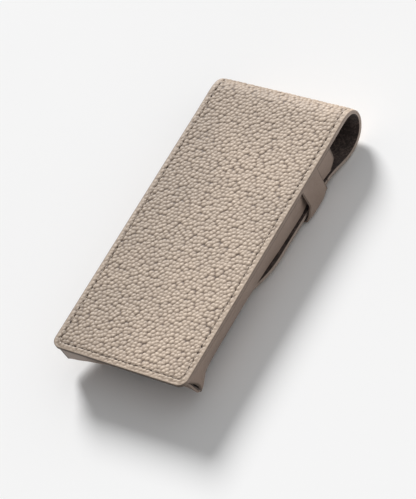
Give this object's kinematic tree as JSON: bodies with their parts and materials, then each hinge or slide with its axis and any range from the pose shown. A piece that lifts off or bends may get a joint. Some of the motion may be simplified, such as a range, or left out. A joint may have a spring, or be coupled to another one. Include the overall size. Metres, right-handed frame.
{
  "type": "soft pouch glasses case",
  "caption": "Soft leather glasses case: flat grained back, curled flap whose rounded tongue tucks under a fixed front strap, lined open pouch.",
  "frame": {"origin": "middle of the footprint, on the surface the case lies on", "axes": "+Y along the case towards the curled bend, +Z out of the back panel, +X across"},
  "size_m": [0.0846, 0.1692, 0.0217],
  "materials": {
    "grained_leather": "pebbled, satin",
    "smooth_leather": "smooth, satin",
    "suede_lining": "matt suede",
    "board": "pressed fibreboard"
  },
  "bodies": {
    "pouch": {"back_leather": "grained_leather", "back_board": "board", "back_lining": "suede_lining", "front_leather": "smooth_leather", "front_lining": "suede_lining", "strap_leather": "smooth_leather", "strap_lining": "suede_lining"},
    "bend_1": {"bend_1_leather": "grained_leather", "bend_1_lining": "suede_lining"},
    "bend_2": {"bend_2_leather": "grained_leather", "bend_2_lining": "suede_lining"},
    "bend_3": {"bend_3_leather": "grained_leather", "bend_3_lining": "suede_lining"},
    "bend_4": {"bend_4_leather": "grained_leather", "bend_4_lining": "suede_lining"},
    "bend_5": {"bend_5_leather": "grained_leather", "bend_5_lining": "suede_lining"},
    "bend_6": {"bend_6_leather": "grained_leather", "bend_6_lining": "suede_lining"},
    "bend_7": {"bend_7_leather": "grained_leather", "bend_7_lining": "suede_lining"},
    "bend_8": {"bend_8_leather": "grained_leather", "bend_8_lining": "suede_lining"},
    "tongue": {"tongue_leather": "grained_leather", "tongue_lining": "suede_lining"}
  },
  "joints": [
    {"name": "flap_draw", "type": "slide", "parent": "pouch", "child": "tongue", "axis": [0, 1, 0], "range_m": [0, 0.02]},
    {"name": "bend_1_fold", "type": "hinge", "parent": "pouch", "child": "bend_1", "pos_m": [0, 0.06044, 0.02173], "axis": [1, 0, 0], "range_deg": [0, 11.3]},
    {"name": "bend_2_fold", "type": "hinge", "parent": "bend_1", "child": "bend_2", "pos_m": [0, 0.06959, 0.02173], "axis": [1, 0, 0], "range_deg": [0, 22.6]},
    {"name": "bend_3_fold", "type": "hinge", "parent": "bend_2", "child": "bend_3", "pos_m": [0, 0.07849, 0.01992], "axis": [1, 0, 0], "range_deg": [0, 29.4]},
    {"name": "bend_4_fold", "type": "hinge", "parent": "bend_3", "child": "bend_4", "pos_m": [0, 0.08429, 0.01325], "axis": [1, 0, 0], "range_deg": [0, 6.8]},
    {"name": "bend_5_fold", "type": "hinge", "parent": "bend_4", "child": "bend_5", "pos_m": [0, 0.08036, 0.00657], "axis": [1, 0, 0], "range_deg": [-14.3, 0]},
    {"name": "bend_6_fold", "type": "hinge", "parent": "bend_5", "child": "bend_6", "pos_m": [0, 0.07301, 0.00282], "axis": [1, 0, 0], "range_deg": [-19.7, 0]},
    {"name": "bend_7_fold", "type": "hinge", "parent": "bend_6", "child": "bend_7", "pos_m": [0, 0.06463, 0.00209], "axis": [1, 0, 0], "range_deg": [-7.3, 0]},
    {"name": "bend_8_fold", "type": "hinge", "parent": "bend_7", "child": "bend_8", "pos_m": [0, 0.05607, 0.00376], "axis": [1, 0, 0], "range_deg": [-11, 0]}
  ],
  "couplings": [
    {"joint": "bend_1_fold", "follows": "flap_draw", "rad_per_m": 9.6866},
    {"joint": "bend_2_fold", "follows": "flap_draw", "rad_per_m": 19.548},
    {"joint": "bend_3_fold", "follows": "flap_draw", "rad_per_m": 25.482},
    {"joint": "bend_4_fold", "follows": "flap_draw", "rad_per_m": 5.7596},
    {"joint": "bend_5_fold", "follows": "flap_draw", "rad_per_m": -12.305},
    {"joint": "bend_6_fold", "follows": "flap_draw", "rad_per_m": -17.017},
    {"joint": "bend_7_fold", "follows": "flap_draw", "rad_per_m": -6.1959},
    {"joint": "bend_8_fold", "follows": "flap_draw", "rad_per_m": -9.4248}
  ]
}
